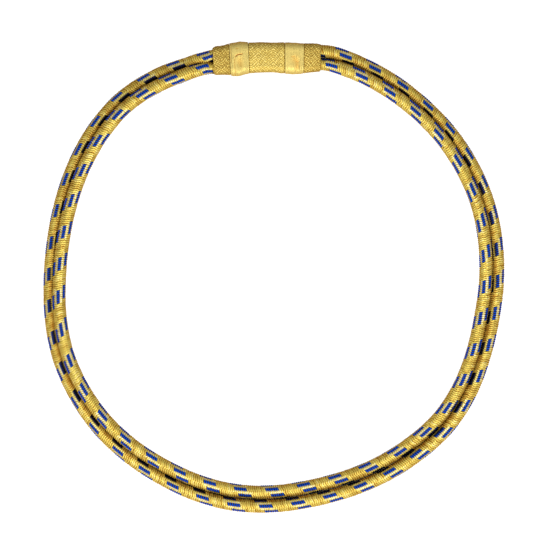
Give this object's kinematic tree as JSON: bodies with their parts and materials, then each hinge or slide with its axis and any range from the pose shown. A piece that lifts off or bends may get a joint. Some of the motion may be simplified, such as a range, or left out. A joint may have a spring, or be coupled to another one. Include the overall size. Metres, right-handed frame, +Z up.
{
  "type": "aiguillette",
  "caption": "Dress aiguillette lying flat: two parallel gold cords with blue dashes in an open ring, bound at the top by a woven lace sleeve with smooth tape wraps.",
  "frame": {"origin": "below the middle of the outline, on the surface that the ring lies on", "axes": "+Z up off that surface, +Y towards the lace sleeve, +X to the right seen from above"},
  "size_m": [0.23, 0.2352, 0.0115],
  "materials": {
    "gold_cord": "metallic gold thread wound in fine cross ribs",
    "blue_thread": "matt blue thread in short dashes, worked into the cord",
    "gold_lace": "woven metallic lace in a zigzag",
    "gold_tape": "smooth metallic tape",
    "pin_brass": "plain drawn wire"
  },
  "bodies": {
    "root": {"cord_outer": "gold_cord", "cord_inner": "gold_cord", "lace_sleeve": "gold_lace", "keeper_left": "gold_tape", "keeper_right": "gold_tape", "pin_bar": "pin_brass"}
  },
  "joints": []
}
